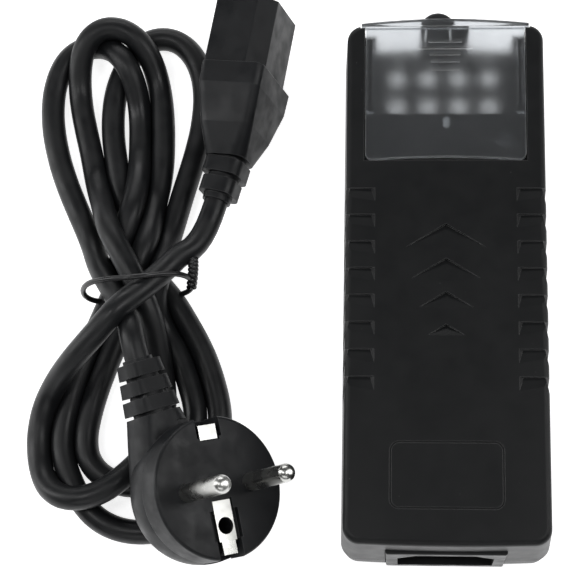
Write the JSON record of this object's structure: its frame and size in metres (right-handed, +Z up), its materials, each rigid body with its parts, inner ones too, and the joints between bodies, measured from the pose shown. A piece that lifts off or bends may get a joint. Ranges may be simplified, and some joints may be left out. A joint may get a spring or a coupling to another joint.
{
  "type": "poe injector",
  "caption": "Slim mains-powered network power injector with a frosted slide-off port cover and a hanked mains lead beside it.",
  "frame": {"origin": "middle of the injector's base, on the surface that its feet stand on", "axes": "+Z up, +Y along the case towards the network sockets and the port cover, +X across the case, away from the mains lead"},
  "size_m": [0.1393, 0.1541, 0.045],
  "materials": {
    "shell": "fine satin grain, moulded black",
    "frosted_cover": "frosted translucent",
    "latch": "satin black",
    "light_pipe": "clear",
    "led": "clear green-white lens",
    "steel": "zinc plated",
    "rubber": "matt",
    "plate": "blank silver film",
    "inlet": "satin black",
    "nickel": "nickel plated",
    "insulation": "thin film",
    "board": "solder mask",
    "fuse": "glazed tube",
    "varistor": "dipped blue",
    "box_capacitor": "yellow box",
    "ferrite": "sintered",
    "copper": "enamelled wire",
    "epoxy": "moulded epoxy",
    "can": "sleeved can",
    "aluminium": "extruded",
    "tape": "polyester tape",
    "disc_capacitor": "dipped blue",
    "jack": "moulded",
    "tinned": "tinned",
    "gold": "gold plated",
    "brass": "bright",
    "lead_rubber": "moulded soft plastic, satin",
    "cord": "smooth soft plastic sheath, satin",
    "tie": "plastic covered wire"
  },
  "bodies": {
    "case": {"bridge_rectifier": "epoxy", "bulk_capacitor": "can", "case_screws": "steel", "circuit_board": "board", "controller_chips": "epoxy", "data_in_jack": "jack", "fuse": "fuse", "inlet_blades": "nickel", "inlet_earth_blade": "nickel", "inlet_housing": "inlet", "insulation_sheet": "insulation", "jack_contacts": "gold", "jack_shields": "tinned", "latch_bracket": "shell", "ledge_screw": "steel", "light_pipe": "light_pipe", "line_choke_core": "ferrite", "line_choke_winding": "copper", "lower_shell": "shell", "optocoupler": "epoxy", "output_capacitors": "can", "output_choke": "ferrite", "output_diode": "epoxy", "power_out_jack": "jack", "power_transistor": "epoxy", "primary_heat_sink": "aluminium", "rating_plate": "plate", "rubber_feet": "rubber", "secondary_heat_sink": "aluminium", "status_led": "led", "transformer_core": "ferrite", "transformer_winding": "tape", "upper_shell": "shell", "varistor": "varistor", "x_capacitor": "box_capacitor", "y_capacitors": "disc_capacitor"},
    "cover": {"port_cover": "frosted_cover"},
    "latch": {"cover_latch": "latch"},
    "lead": {"connector_body": "lead_rubber", "connector_contacts": "brass", "connector_relief": "lead_rubber", "cord_from_connector": "cord", "cord_hank": "cord", "cord_to_plug": "cord", "twist_tie": "tie", "plug_body": "lead_rubber", "plug_pins": "nickel", "plug_earth_contacts": "nickel", "plug_relief": "lead_rubber"}
  },
  "joints": [
    {"name": "cover_slide", "type": "slide", "parent": "case", "child": "cover", "axis": [0, 1, 0], "range_m": [0, 0.042]},
    {"name": "latch_press", "type": "slide", "parent": "case", "child": "latch", "axis": [0, 0, -1], "range_m": [0, 0.002], "stiffness_N_per_m": 500},
    {"name": "lead_lift", "type": "slide", "parent": "case", "child": "lead", "axis": [0, 0, 1], "range_m": [0, 0.06]}
  ]
}
